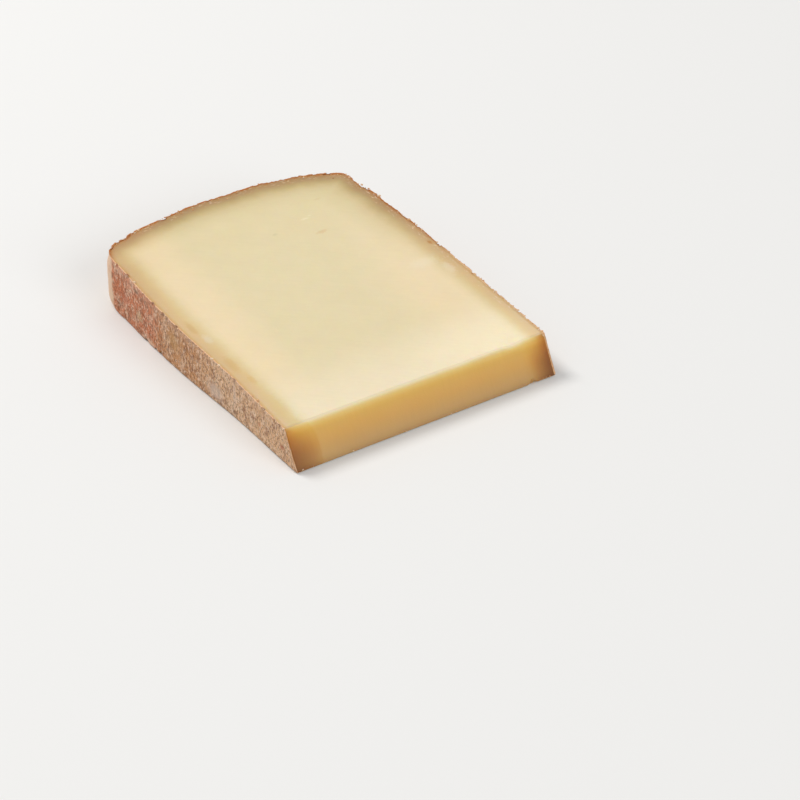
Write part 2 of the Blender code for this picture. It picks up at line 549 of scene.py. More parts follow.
def small_chips(count, seed):
    """Small random chips along the upper rim, most of them on the heel and on the right."""
    dice = np.random.default_rng(seed)
    rows = []
    for number in range(count):
        on_left = number % 5 == 0
        span = (behind_cut[0] / OUTLINE_POINTS, LEFT_SHOULDER) if on_left else (
            LEFT_SHOULDER, behind_cut[-1] / OUTLINE_POINTS
        )
        index = int(dice.uniform(*span) * OUTLINE_POINTS)
        width = dice.uniform(0.9, 2.4) * MM
        rows.append(ball(top_rim, index, width, width * dice.uniform(0.15, 0.3)))
    return rows


def sized_points(name, rows):
    """A mesh of loose points that carry a size."""
    mesh = bpy.data.meshes.new(name)
    mesh.from_pydata([row[:3] for row in rows], [], [])
    mesh.attributes.new("size", "FLOAT", "POINT").data.foreach_set("value", [row[3] for row in rows])
    points = bpy.data.objects.new(name, mesh)
    bpy.context.scene.collection.objects.link(points)
    return points


bite_rows = placed_bites(top_rim, RIM_BITES) + placed_bites(foot_rim, FOOT_BITES)
bite_rows += (np.array(TIP_BITES) * MM).tolist() + small_chips(CHIP_COUNT, CHIP_SEED)
bites = sized_points("bites", bite_rows)
print("bites:", len(bite_rows))


def bitten(nodes, place, balls):
    """The place, pushed out of the nearest ball if it lies inside it."""
    geometry = nodes.add("GeometryNodeObjectInfo", {"Object": balls}, "Geometry")
    nearest = nodes.add("GeometryNodeSampleNearest", {"Geometry": geometry, "Sample Position": place})
    here = nodes.add("GeometryNodeInputPosition")
    size = nodes.add("GeometryNodeInputNamedAttribute", {"Name": "size"})
    sockets = {0: geometry, 1: here, 2: nearest}
    centre = nodes.add("GeometryNodeSampleIndex", sockets, data_type="FLOAT_VECTOR")
    radius = nodes.add("GeometryNodeSampleIndex", {0: geometry, 1: size, 2: nearest})
    gap = nodes.vector("SUBTRACT", place, centre)
    rough = nodes.math("ADD", 1.0, nodes.hills(nodes.scaled(place, 1 / MM), 0.9, 0.45, 2.0))
    push = nodes.math("SUBTRACT", nodes.product(radius, rough), nodes.length(gap))
    push = nodes.math("MAXIMUM", push, 0.0)
    return nodes.vector("ADD", place, nodes.scaled(nodes.vector("NORMALIZE", gap), push))


# %% [markdown]
# ## The paste's finish
#
# Cut cheese is smooth, a little waxy, and lets light into its first millimetres. Its colour depends
# on how far the rind is: right under it the paste has dried to a brown, see-through band, then it
# turns ochre, then cream, and ivory in the middle. The mesh will carry three distances in
# millimetres for this: from the rind, from the tip cut and from the upper cut.

# %% Paste material
IVORY = colour(225, 211, 172)
CREAM = colour(234, 215, 177)
TIP_CREAM = colour(237, 223, 192)
TIP_LIGHT = colour(245, 230, 197)
WHITE = (1.0, 1.0, 1.0, 1.0)

# How much red, green and blue light the dried paste sends back, by distance from the rind in mm
HEEL_BAND = [
    (0.0, (0.56, 0.36, 0.23, 1)), (0.6, (0.57, 0.38, 0.26, 1)), (1.4, (0.56, 0.41, 0.30, 1)),
    (2.4, (0.59, 0.45, 0.34, 1)), (3.4, (0.63, 0.52, 0.39, 1)), (4.6, (0.70, 0.615, 0.48, 1)),
    (6.0, (0.785, 0.72, 0.60, 1)), (8.0, (0.885, 0.835, 0.76, 1)), (11.0, (0.93, 0.915, 0.87, 1)),
    (18.0, WHITE),
]
SIDE_BAND = [
    (0.0, (0.79, 0.55, 0.37, 1)), (0.6, (0.80, 0.62, 0.44, 1)), (1.2, (0.82, 0.70, 0.58, 1)),
    (3.2, (0.84, 0.735, 0.59, 1)), (4.6, (0.86, 0.785, 0.625, 1)), (5.8, (0.88, 0.84, 0.71, 1)),
    (7.2, (0.92, 0.91, 0.83, 1)), (8.6, (0.965, 0.965, 0.93, 1)), (11.0, WHITE),
    (18.0, WHITE),
]
# The same for the ends of the tip cut, high up and low down: partly dried paste, partly painted shade,
# which makes the low one darker near the foot
TIP_END_HIGH = [
    (0.0, (0.62, 0.36, 0.15, 1)), (1.0, (0.70, 0.44, 0.21, 1)), (1.9, (0.81, 0.55, 0.29, 1)),
    (3.5, (0.93, 0.78, 0.51, 1)), (5.8, (1.0, 0.93, 0.74, 1)), (8.4, (1.0, 1.0, 0.92, 1)),
    (10.6, WHITE),
]
TIP_END_LOW_SHADED = [
    (0.0, (0.42, 0.24, 0.12, 1)), (1.0, (0.45, 0.27, 0.15, 1)), (1.9, (0.51, 0.33, 0.19, 1)),
    (3.5, (0.62, 0.45, 0.30, 1)), (5.4, (0.77, 0.61, 0.46, 1)), (7.0, (0.91, 0.81, 0.62, 1)),
    (8.4, (0.98, 0.93, 0.84, 1)), (10.6, WHITE),
]
# The tip cut's colour, by distance below the upper cut in mm: a little dried gold, mostly painted shade
# and warm bounce light, darkest towards the foot
TIP_GOLD_AND_SHADE = [
    (0.0, colour(238, 222, 175)), (0.4, colour(233, 211, 153)), (0.8, colour(229, 199, 128)),
    (1.3, colour(227, 193, 111)), (2.1, colour(222, 181, 94)), (3.0, colour(218, 173, 89)),
    (4.8, colour(215, 168, 90)), (6.5, colour(211, 164, 91)), (8.3, colour(204, 161, 95)),
    (10.0, colour(198, 158, 100)), (11.0, colour(192, 154, 97)), (11.8, colour(181, 142, 93)),
    (12.7, colour(172, 132, 86)),
]
# Small flaws on the upper cut: (across, along, half width, half length, colour, strength)
FLAWS = [
    (20.4, 28.6, 2.4, 1.0, colour(216, 188, 138), 0.6),
    (19.6, 38.4, 1.6, 0.6, colour(238, 226, 200), 0.5),
    (22.0, 39.4, 1.0, 0.4, colour(238, 226, 200), 0.35),
    (5.3, 35.2, 1.0, 0.8, colour(208, 194, 156), 0.5),
    (30.0, 47.0, 1.8, 0.6, colour(214, 192, 144), 0.4),
    (49.0, 4.2, 0.9, 1.3, colour(186, 130, 66), 0.8),
    (-47.5, 2.0, 1.2, 4.0, colour(204, 166, 106), 0.5),
    (-46.0, -6.0, 1.5, 3.0, colour(226, 214, 190), 0.5),
    (-46.5, -22.0, 1.8, 5.0, colour(208, 168, 106), 0.45),
    (-45.0, -32.0, 1.2, 3.0, colour(214, 176, 112), 0.45),
    (-45.5, -52.0, 2.8, 13.0, colour(214, 190, 130), 0.4),
    (40.0, -5.0, 6.0, 3.0, colour(240, 228, 204), 0.3),
    (46.0, -12.0, 2.0, 4.0, colour(236, 226, 204), 0.35),
]


def new_finish(name):
    """A material with a Principled shader, and the words to build its node tree."""
    finish = bpy.data.materials.new(name)
    finish.use_nodes = True
    return finish, Nodes(finish.node_tree), finish.node_tree.nodes["Principled BSDF"]


def place_mm(nodes):
    """The place on the piece, in millimetres."""
    return nodes.scaled(nodes.add("ShaderNodeTexCoord", result="Object"), 1.0 / MM)


def carried(nodes, name):
    """A value that the mesh carries."""
    return nodes.add("ShaderNodeAttribute", result="Fac", attribute_name=name)


def flawed(nodes, skin, spot, flaws):
    """The colour with small soft marks on it, each at a place in the spot's first two directions."""
    jitter = nodes.total(1.0, nodes.hills(spot, 0.9, 0.6, 3.0))
    for right, up, wide, high, paint, strength in flaws:
        gap = nodes.vector("SUBTRACT", spot, (right, up, 0.0))
        gap = nodes.vector("MULTIPLY", gap, (1.0 / wide, 1.0 / high, 0.0))
        near = nodes.fade(nodes.product(nodes.length(gap), jitter), 0.3, 1.3, strength, 0.0)
        skin = nodes.tint(near, skin, paint)
    return skin


def darkness(nodes, place):
    """How dark the edge has dried: most at the heel and at the right's back, least on the left."""
    across = nodes.part(place, "X")
    along = nodes.part(place, "Y")
    heel = nodes.fade(along, 44.0, 60.0)
    right = nodes.product(nodes.fade(across, 10.0, 40.0), nodes.fade(along, -25.0, 42.0, 0.06, 1.0))
    left_back = nodes.product(nodes.fade(along, 5.0, 45.0), nodes.fade(across, -30.0, -40.0), 0.25)
    return heel, nodes.math("MAXIMUM", heel, nodes.math("MAXIMUM", right, left_back))


def rimmed(nodes, skin, outside, place):
    """The colour with the crust's line and pale scuffs, by distance from the outside in mm."""
    heel, dark = darkness(nodes, place)
    ragged = nodes.total(outside, nodes.hills(place, 2.8, 0.75, 3.0), nodes.hills(place, 0.7, 0.25, 2.0))
    line = nodes.product(nodes.fade(ragged, 0.3, 1.25, 1.0, 0.0), nodes.fade(dark, 0.2, 0.8), 0.85)
    skin = nodes.tint(line, skin, colour(178, 108, 50))
    by_heel = nodes.vector("MULTIPLY", place, (0.4, 1.3, 0.0))
    by_side = nodes.vector("MULTIPLY", place, (1.3, 0.4, 0.0))
    smear = nodes.noise(nodes.vector_between(heel, by_side, by_heel), 0.9, 3.0, 0.6)
    near_rim = nodes.product(nodes.fade(outside, 0.1, 0.9), nodes.fade(outside, 2.2, 4.0, 1.0, 0.0))
    by_right = nodes.fade(nodes.part(place, "X"), -38.0, -30.0, 0.35, 1.0)
    patchy = nodes.fade(nodes.noise(place, 7.0), 0.40, 0.6, 0.25, 1.0)
    smear = nodes.product(nodes.fade(smear, 0.54, 0.66), near_rim, patchy, by_right, 0.7)
    return nodes.tint(smear, skin, colour(226, 202, 174))


def paste_finish():
    finish, nodes, shader = new_finish("paste")
    place = place_mm(nodes)
    across = nodes.part(place, "X")
    along = nodes.part(place, "Y")
    under_rind = carried(nodes, "under_rind")
    behind_tip = carried(nodes, "behind_tip")
    below_top = carried(nodes, "below_top")

    # The body: two cream strips beside an ivory middle, and a creamier tip
    drifted = nodes.total(across, nodes.hills(place, 30.0, 5.0))
    left_strip = nodes.fade(drifted, -38.0, -21.0, 1.0, 0.0)
    right_strip = nodes.product(nodes.fade(drifted, 12.0, 36.0), nodes.fade(along, 50.0, -10.0))
    body = nodes.tint(nodes.math("MAXIMUM", left_strip, right_strip), IVORY, CREAM)
    body = nodes.tint(nodes.fade(behind_tip, 2.0, 34.0, 1.0, 0.0), body, TIP_CREAM)
    light = nodes.product(nodes.fade(drifted, 0.0, 34.0), nodes.fade(behind_tip, 4.0, 26.0, 1.0, 0.0))
    body = nodes.tint(light, body, TIP_LIGHT)
    body = nodes.tint(nodes.fade(along, 10.0, 60.0), body, (0.985, 0.975, 0.94, 1.0), "MULTIPLY")
    clouds = nodes.total(nodes.hills(place, 9.0, 0.03, 3.0), nodes.hills(place, 1.5, 0.015, 2.0))
    turned_place = nodes.add(
        "ShaderNodeVectorRotate", {"Vector": place, "Angle": math.radians(38)}, rotation_type="Z_AXIS"
    )
    slanted = nodes.vector("MULTIPLY", turned_place, (0.05, 1.0, 1.0))
    shade = nodes.total(1.0, clouds, nodes.hills(slanted, 0.7, 0.025, 3.0))
    body = nodes.tint(1.0, body, nodes.join(shade, shade, nodes.math("POWER", shade, 1.3)), "MULTIPLY")

    # The band under the rind, wider at the back than at the tip
    waver = nodes.product(nodes.hills(place, 5.0, 1.0, 3.0), nodes.fade(under_rind, 0.5, 5.0))
    width = nodes.fade(nodes.product(along, nodes.fade(across, 0.0, 40.0)), -60.0, 20.0, 1.2, 1.0)
    reach = nodes.product(nodes.total(under_rind, waver), width)
    reach = nodes.math("MAXIMUM", reach, 0.0)
    heel, dark = darkness(nodes, place)
    band = nodes.tint(dark, nodes.ramp(reach, 18.0, SIDE_BAND), nodes.ramp(reach, 18.0, HEEL_BAND))
    skin = nodes.tint(1.0, body, band, "MULTIPLY")
    skin = flawed(nodes, skin, place, FLAWS)
    skin = rimmed(nodes, skin, nodes.total(under_rind, RIND_SHOWN / MM), place)

    # The tip cut is painted gold, and brown at both ends, with a sharper limit on the left: partly dried
    # paste, mostly painted shade and warm bounce light, darker low down
    on_tip = nodes.fade(behind_tip, 0.0, 0.5, 1.0, 0.0)
    limit = nodes.total(under_rind, nodes.fade(below_top, 0.0, 4.0, 1.8, 0.0), nodes.hills(place, 4.0, 0.4))
    left_reach = nodes.total(nodes.product(under_rind, 0.62), nodes.fade(limit, 9.6, 11.2, 1.4, 5.4))
    end_reach = nodes.between(nodes.fade(across, 0.0, -10.0), under_rind, left_reach)
    end_reach = nodes.total(end_reach, nodes.hills(place, 3.0, 0.35, 2.0))
    end_reach = nodes.math("MAXIMUM", end_reach, 0.0)
    high = nodes.ramp(end_reach, 10.6, TIP_END_HIGH)
    low = nodes.ramp(end_reach, 10.6, TIP_END_LOW_SHADED)
    ends = nodes.tint(nodes.fade(below_top, 0.0, 8.0), high, low)
    gold_and_shade = nodes.tint(1.0, nodes.ramp(below_top, 12.7, TIP_GOLD_AND_SHADE), ends, "MULTIPLY")
    brushed = nodes.total(1.0, nodes.hills(nodes.vector("MULTIPLY", place, (1.0, 0.1, 0.1)), 0.8, 0.03, 3.0))
    gold_and_shade = nodes.tint(1.0, gold_and_shade, nodes.join(brushed, brushed, brushed), "MULTIPLY")
    skin = nodes.tint(on_tip, skin, gold_and_shade)
    nodes.feed(shader.inputs["Base Color"], skin)

    fine = nodes.total(nodes.hills(place, 0.6, 0.5, 3.0), nodes.hills(slanted, 0.5, 0.4, 2.0))
    bump = nodes.add("ShaderNodeBump", {"Height": fine, "Strength": 0.2, "Distance": 0.0001})
    nodes.feed(shader.inputs["Normal"], bump)
    nodes.feed(shader.inputs["Roughness"], nodes.fade(nodes.noise(place, 6.0), 0.3, 0.7, 0.45, 0.58))
    shader.inputs["Specular IOR Level"].default_value = 0.3
    shader.inputs["Subsurface Weight"].default_value = 0.5
    shader.inputs["Subsurface Radius"].default_value = (1.0, 0.55, 0.2)
    shader.inputs["Subsurface Scale"].default_value = 0.0022
    return finish


paste = paste_finish()
print("paste material has", len(paste.node_tree.nodes), "nodes")

# %% [markdown]
# ## The paste
#
# A finely divided box becomes the wedge. Its three sides, running from 0 to 1, say how far across,
# how far from the tip and how high a point lies. Across and along, the point is hung between the
# guide curves: straight between the left and right guides, pushed out by what the rim guide adds
# at the heel. The height turns it about the axle. A tree is good for this, because every size is an
# input that can be changed and watched.

# %% Grow the paste
PASTE_CELLS = {"Cells across": 150, "Cells along": 190, "Cells up": 24}
CROWDING = 0.62

# Soft dips in the upper cut: (across, radius, half width, depth) in millimetres
DIPS = [(38.6, 189.6, 3.2, 0.55), (9.0, 196.0, 6.0, 0.12), (17.0, 189.4, 4.0, 0.22), (-41.0, 300.0, 9.0, 0.25)]


def crowded(nodes, way, crowding):
    """Moves the grid's lines towards both ends, where the edges need them."""
    turn = nodes.math("SINE", nodes.math("MULTIPLY", way, 2 * math.pi))
    return nodes.math("SUBTRACT", way, nodes.product(turn, crowding, 1 / (2 * math.pi)))


def on_guide(nodes, curves, number, factor):
    """The place on one of the guide's splines."""
    sockets = {"Curves": curves, "Factor": factor, "Curve Index": number}
    return nodes.add("GeometryNodeSampleCurve", sockets, "Position", use_all_curves=False)


def hung(nodes, curves, first, across, along):
    """The place of a point of the section between three splines, the first of which is on the left."""
    left, heel, right = first, first + 1, first + 2
    straight = nodes.vector_between(
        across, on_guide(nodes, curves, left, along), on_guide(nodes, curves, right, along)
    )
    shoulders = nodes.vector_between(
        across, on_guide(nodes, curves, left, 1.0), on_guide(nodes, curves, right, 1.0)
    )
    crown = nodes.vector("SUBTRACT", on_guide(nodes, curves, heel, across), shoulders)
    return nodes.vector("ADD", straight, nodes.scaled(crown, along))


def turned(nodes, across, radius, angle, axle):
    """The place of a point of the section once it is turned about the axle."""
    along = nodes.math("ADD", axle, nodes.product(radius, nodes.math("COSINE", angle)))
    return nodes.join(across, along, nodes.product(radius, nodes.math("SINE", angle)))


def tip_radius_at(nodes, angle, given):
    """How far from the axle the slanted tip cut runs at this angle."""
    rise = nodes.product(nodes.math("SINE", angle), nodes.math("TANGENT", given["Tip slant"]))
    return nodes.math("DIVIDE", given["Tip radius"], nodes.math("SUBTRACT", nodes.math("COSINE", angle), rise))


def dips_at(nodes, across, radius):
    """How deep the dips are here, in metres."""
    depth = 0.0
    for centre_across, centre_radius, wide, deep in DIPS:
        centre = (centre_across * MM, centre_radius * MM, 0.0)
        gap = nodes.vector("SUBTRACT", nodes.join(across, radius, 0.0), centre)
        dip = nodes.fade(nodes.length(gap), 0.0, 1.6 * wide * MM, deep * MM, 0.0)
        depth = nodes.total(depth, dip)
    return depth


def paste_tree():
    tree, nodes, given = new_tree("paste wedge", {
        "object": ["Guides", "Bites"],
        "size": ["Axle", "Wedge angle", "Tip radius", "Tip slant", "Crowding", "Edge softness", "Waviness"],
        "count": ["Cells across", "Cells along", "Cells up"],
        "material": ["Material"],
    })
    curves = nodes.add("GeometryNodeObjectInfo", {"Object": given["Guides"]}, "Geometry")
    box = nodes.add("GeometryNodeMeshCube", {
        "Vertices X": given["Cells across"], "Vertices Y": given["Cells along"], "Vertices Z": given["Cells up"],
    })
    corner = nodes.vector("ADD", nodes.add("GeometryNodeInputPosition"), (0.5, 0.5, 0.5))
    across, along, up = [crowded(nodes, nodes.part(corner, axis), given["Crowding"]) for axis in "XYZ"]
    foot = hung(nodes, curves, 0, across, along)
    rim = hung(nodes, curves, 3, across, along)
    section = nodes.vector_between(nodes.fade(up, 0.5, 0.95), foot, rim)

    angle = nodes.product(up, given["Wedge angle"])
    tip = tip_radius_at(nodes, angle, given)
    shift = nodes.product(nodes.math("SUBTRACT", tip, given["Tip radius"]), nodes.math("SUBTRACT", 1.0, along))
    radius = nodes.math("ADD", nodes.part(section, "Y"), shift)
    outline_mesh = nodes.add("GeometryNodeCurveToMesh", {"Curve": curves})
    flat = nodes.join(nodes.part(section, "X"), radius, 0.0)
    sockets = {"Geometry": outline_mesh, "Sample Position": flat}
    under_rind = nodes.add("GeometryNodeProximity", sockets, "Distance", target_element="EDGES")
    geometry = store(nodes, box, {
        "under_rind": nodes.math("DIVIDE", under_rind, MM),
        "behind_tip": nodes.math("DIVIDE", nodes.math("SUBTRACT", radius, tip), MM),
        "below_top": nodes.product(radius, nodes.math("SUBTRACT", given["Wedge angle"], angle), 1 / MM),
    })
    sunk = nodes.product(dips_at(nodes, nodes.part(section, "X"), radius), nodes.fade(up, 0.8, 1.0))
    place = turned(nodes, nodes.part(section, "X"), radius, angle, given["Axle"])
    place = nodes.vector("SUBTRACT", place, nodes.join(0.0, 0.0, sunk))
    geometry = nodes.add("GeometryNodeSetPosition", {"Geometry": geometry, "Position": place})

    # The edge between the upper cut and the tip cut is knife-soft
    behind = nodes.add("GeometryNodeInputNamedAttribute", {"Name": "behind_tip"})
    below = nodes.add("GeometryNodeInputNamedAttribute", {"Name": "below_top"})
    drawn = nodes.product(
        nodes.fade(behind, 0.0, 1.3, 1.0, 0.0), nodes.fade(below, 0.0, 1.3, 1.0, 0.0), given["Edge softness"]
    )
    offset = nodes.join(0.0, drawn, nodes.math("MULTIPLY", drawn, -1.0))
    geometry = nodes.add("GeometryNodeSetPosition", {"Geometry": geometry, "Offset": offset})

    # The cut faces aren't quite flat, and the crust under the rind is rough
    here = nodes.add("GeometryNodeInputPosition")
    spot = nodes.scaled(here, 1 / MM)
    broad = nodes.hills(spot, 22.0, 1.0)
    ripple = nodes.hills(nodes.vector("MULTIPLY", spot, (0.25, 1.0, 1.0)), 3.0, 0.25)
    distance = nodes.add("GeometryNodeInputNamedAttribute", {"Name": "under_rind"})
    crust = nodes.product(nodes.hills(spot, 0.9, 0.9, 3.0), nodes.fade(distance, 0.3, 2.2, 1.0, 0.0))
    above_foot = nodes.fade(nodes.part(spot, "Z"), 0.0, 3.0)
    wave = nodes.product(nodes.total(broad, ripple, crust), given["Waviness"], above_foot)
    normal = nodes.add("GeometryNodeInputNormal")
    geometry = nodes.add("GeometryNodeSetPosition", {"Geometry": geometry, "Offset": nodes.scaled(normal, wave)})
    sockets = {"Geometry": geometry, "Position": bitten(nodes, here, given["Bites"])}
    geometry = nodes.add("GeometryNodeSetPosition", sockets)
    geometry = nodes.add("GeometryNodeSetShadeSmooth", {"Geometry": geometry})
    return end_tree(tree, nodes, geometry, given["Material"])


WEDGE = {
    "Axle": AXLE_Y, "Wedge angle": WEDGE_ANGLE, "Tip radius": TIP_RADIUS, "Tip slant": TIP_SLANT,
    "Bites": bites,
}
paste_piece = grow("paste", paste_tree(), {
    **WEDGE, **PASTE_CELLS, "Guides": paste_guide, "Crowding": CROWDING, "Edge softness": 0.0004,
    "Waviness": 0.00012, "Material": paste,
})

# %% [markdown]
# ## The rind's finish
#
# The rind is dry and matt. On the wheel's flat face it is dusty rose at the back, brown in the
# middle and grey-beige at the tip, all over mottled with small brown and pale blotches, with
# painted shade in the hollows of its relief and painted light on its lumps. Where it turns round
# the shoulder, towards the lamp, it is painted paler: partly its own pale colour, partly painted
# light. Its cut edge, seen from above, is a torn peach line on the left, partly a painted
# highlight where the edge catches the light, and a red-brown one along the heel.

# %% Rind material
RIND_DEPTH = 0.0012
ROSE = colour(206, 128, 92)
BROWN = colour(206, 152, 106)
BEIGE = colour(226, 184, 144)

# The cut edge's colours, by depth in mm from the outside: torn on the left, where the outer peach
# line is partly a painted highlight, baked at the heel, and pale at the right towards the tip
TORN_EDGE_WITH_HIGHLIGHT = [
    (0.0, colour(234, 194, 158)), (0.3, colour(236, 192, 150)), (0.5, colour(222, 162, 104)),
    (0.8, colour(214, 152, 90)), (1.2, colour(210, 156, 92)),
]
BAKED_EDGE = [
    (0.0, colour(192, 128, 76)), (0.3, colour(186, 120, 66)), (0.6, colour(184, 132, 84)),
    (1.2, colour(182, 138, 90)),
]
PALE_EDGE = [
    (0.0, colour(222, 164, 116)), (0.3, colour(224, 176, 130)), (0.6, colour(224, 186, 140)),
    (1.2, colour(222, 190, 146)),
]
# Marks on the left rind: (along, up, half length, half height, colour, strength)
LEFT_MARKS = [
    (32.5, 16.8, 1.2, 0.9, colour(118, 96, 78), 0.7),
    (-18.0, 4.2, 5.0, 3.2, colour(222, 202, 186), 0.6),
    (-29.5, 9.0, 1.2, 5.5, colour(222, 200, 182), 0.5),
    (-29.2, 2.2, 1.2, 1.0, colour(126, 96, 78), 0.6),
    (-58.3, 5.2, 1.6, 1.0, colour(170, 88, 56), 0.7),
    (-44.5, 6.0, 1.0, 0.7, colour(176, 92, 62), 0.5),
    (42.0, 9.0, 3.5, 2.5, colour(190, 104, 72), 0.5),
    (31.0, 7.5, 2.5, 2.0, colour(196, 164, 122), 0.5),
    (24.0, 0.9, 5.5, 1.1, colour(232, 190, 160), 0.85),
    (8.0, 10.0, 4.0, 4.0, colour(196, 152, 96), 0.45),
    (-45.0, 11.0, 5.0, 2.0, colour(202, 154, 112), 0.4),
]


def blotches(nodes, skin, place, size, limits, paint, strength):
    """The colour with blotches of another one, which fade in between two limits of a noise."""
    found = nodes.fade(nodes.noise(place, size, 4.0, 0.62), *limits)
    return nodes.tint(nodes.product(found, strength), skin, paint)


def rind_finish():
    finish, nodes, shader = new_finish("rind")
    place = place_mm(nodes)
    depth = carried(nodes, "depth")
    relief = carried(nodes, "relief")
    shoulder = carried(nodes, "shoulder")
    on_left = carried(nodes, "on_left")
    height = carried(nodes, "height")
    along = nodes.total(nodes.part(place, "Y"), nodes.hills(place, 9.0, 9.0, 3.0))

    ground = nodes.tint(nodes.fade(along, 8.0, 26.0), BROWN, ROSE)
    ground = nodes.tint(nodes.fade(along, -4.0, -24.0), ground, BEIGE)
    ground = nodes.tint(nodes.product(nodes.math("SUBTRACT", 1.0, on_left), 0.6), ground, BROWN)
    upright = nodes.vector("MULTIPLY", place, (1.0, 1.0, 0.7))
    for shift, size, limits, paint, strength in (
        (11.0, 5.0, (0.48, 0.66), colour(232, 206, 180), 0.50),
        (23.0, 2.6, (0.50, 0.64), colour(156, 106, 80), 0.60),
        (37.0, 1.1, (0.50, 0.62), colour(244, 218, 192), 0.60),
        (51.0, 0.8, (0.51, 0.60), colour(120, 76, 54), 0.65),
        (67.0, 0.4, (0.54, 0.64), colour(104, 66, 48), 0.50),
    ):
        ground = blotches(nodes, ground, nodes.elsewhere(upright, shift), size, limits, paint, strength)
    # Painted shade in the hollows of the relief, and painted light on its lumps
    ground = nodes.tint(nodes.fade(relief, -0.04, -0.2, 0.0, 0.5), ground, colour(112, 72, 52))
    ground = nodes.tint(nodes.fade(relief, 0.05, 0.25, 0.0, 0.4), ground, colour(244, 220, 196))
    ground = nodes.tint(nodes.fade(height, 0.75, 1.0, 0.0, 0.25), ground, colour(220, 186, 160))
    by_side = nodes.join(nodes.part(place, "Y"), nodes.part(place, "Z"), 0.0)
    marked = flawed(nodes, ground, by_side, LEFT_MARKS)
    ground = nodes.tint(on_left, ground, marked)
    # The shoulder, turned towards the lamp, is painted paler: partly its own pale colour, partly painted light
    pale = nodes.product(shoulder, nodes.fade(nodes.noise(upright, 2.5, 3.0), 0.25, 0.55, 0.55, 0.95))
    ground = nodes.tint(pale, ground, colour(228, 196, 168))

    deep = nodes.product(depth, RIND_DEPTH / MM)
    frayed = nodes.math("MAXIMUM", nodes.total(deep, nodes.hills(place, 0.8, 0.18, 3.0)), 0.0)
    heel, dark = darkness(nodes, place)
    baked = nodes.fade(dark, 0.1, 0.6)
    edge = nodes.tint(baked, nodes.ramp(frayed, 1.2, PALE_EDGE), nodes.ramp(frayed, 1.2, BAKED_EDGE))
    # On the left the torn edge's outer peach line is partly a painted highlight
    edge = nodes.tint(on_left, edge, nodes.ramp(frayed, 1.2, TORN_EDGE_WITH_HIGHLIGHT))
    edge = blotches(nodes, edge, nodes.elsewhere(place, 5.0), 0.7, (0.52, 0.64), colour(240, 216, 190), 0.5)
    edge = blotches(nodes, edge, nodes.elsewhere(place, 9.0), 0.6, (0.54, 0.64), colour(170, 104, 60), 0.5)
    edge = rimmed(nodes, edge, deep, place)
    skin = nodes.tint(nodes.fade(depth, 0.02, 0.12), ground, edge)
    nodes.feed(shader.inputs["Base Color"], skin)

    grain = nodes.total(nodes.hills(place, 0.35, 0.4, 4.0, 0.6), nodes.hills(place, 1.0, 0.5, 3.0))
    bump = nodes.add("ShaderNodeBump", {"Height": grain, "Strength": 0.8, "Distance": 0.0003})
    nodes.feed(shader.inputs["Normal"], bump)
    nodes.feed(shader.inputs["Roughness"], nodes.fade(nodes.noise(place, 2.0), 0.3, 0.7, 0.75, 0.95))
    shader.inputs["Specular IOR Level"].default_value = 0.25
    shader.inputs["Subsurface Weight"].default_value = 0.1
    shader.inputs["Subsurface Radius"].default_value = (1.0, 0.5, 0.3)
    shader.inputs["Subsurface Scale"].default_value = 0.0006
    return finish


rind = rind_finish()
print("rind material has", len(rind.node_tree.nodes), "nodes")

# %% [markdown]
# ## The rind
#
# The rind is a tube that is pressed flat and bent round the slab along its guide. Round the tube
# come first the outer wall from foot to top, then the cut edge, then the hidden inner wall and the
# foot. The outer wall takes most of the points, for the lumps and grain of a brushed rind. The
# inner wall dives below the paste's faces, so that the paste closes over it without a gap.

# %% Grow the rind
RIND_CELLS = {"Cells along": 1200, "Wall cells": 58, "Edge cells": 6, "Inner cells": 3, "Foot cells": 4}


def pressed_tube(nodes, given):
    """The tube, with how far along, how high and how deep in the rind each of its points lies."""
    around = nodes.total(*(given[name] for name in ("Wall cells", "Edge cells", "Inner cells", "Foot cells")))
    sockets = {
        "Vertices": around, "Side Segments": given["Cells along"], "Fill Segments": 1,
        "Radius": 1.0, "Depth": 1.0,
    }
    tube = nodes.add("GeometryNodeMeshCylinder", sockets, fill_type="NGON")
    here = nodes.add("GeometryNodeInputPosition")
    turn = nodes.math("ARCTAN2", nodes.part(here, "Y"), nodes.part(here, "X"))
    turn = nodes.math("FRACT", nodes.total(nodes.product(turn, 1 / (2 * math.pi)), 1.00001))
    step = nodes.math("ROUND", nodes.product(turn, around))

    def passed(before, cells):
        """How much of a stretch of cells the point has passed, from 0 to 1."""
        start = nodes.total(0.0, *(given[name] for name in before))
        return nodes.math("DIVIDE", nodes.math("SUBTRACT", step, start), given[cells], clamp=True)

    up = nodes.math("SUBTRACT", passed([], "Wall cells"), passed(["Wall cells", "Edge cells"], "Inner cells"))
    deep = nodes.math(
        "SUBTRACT", passed(["Wall cells"], "Edge cells"),
        passed(["Wall cells", "Edge cells", "Inner cells"], "Foot cells"),
    )
    return tube, nodes.math("ADD", nodes.part(here, "Z"), 0.5), crowded(nodes, up, 0.4), deep


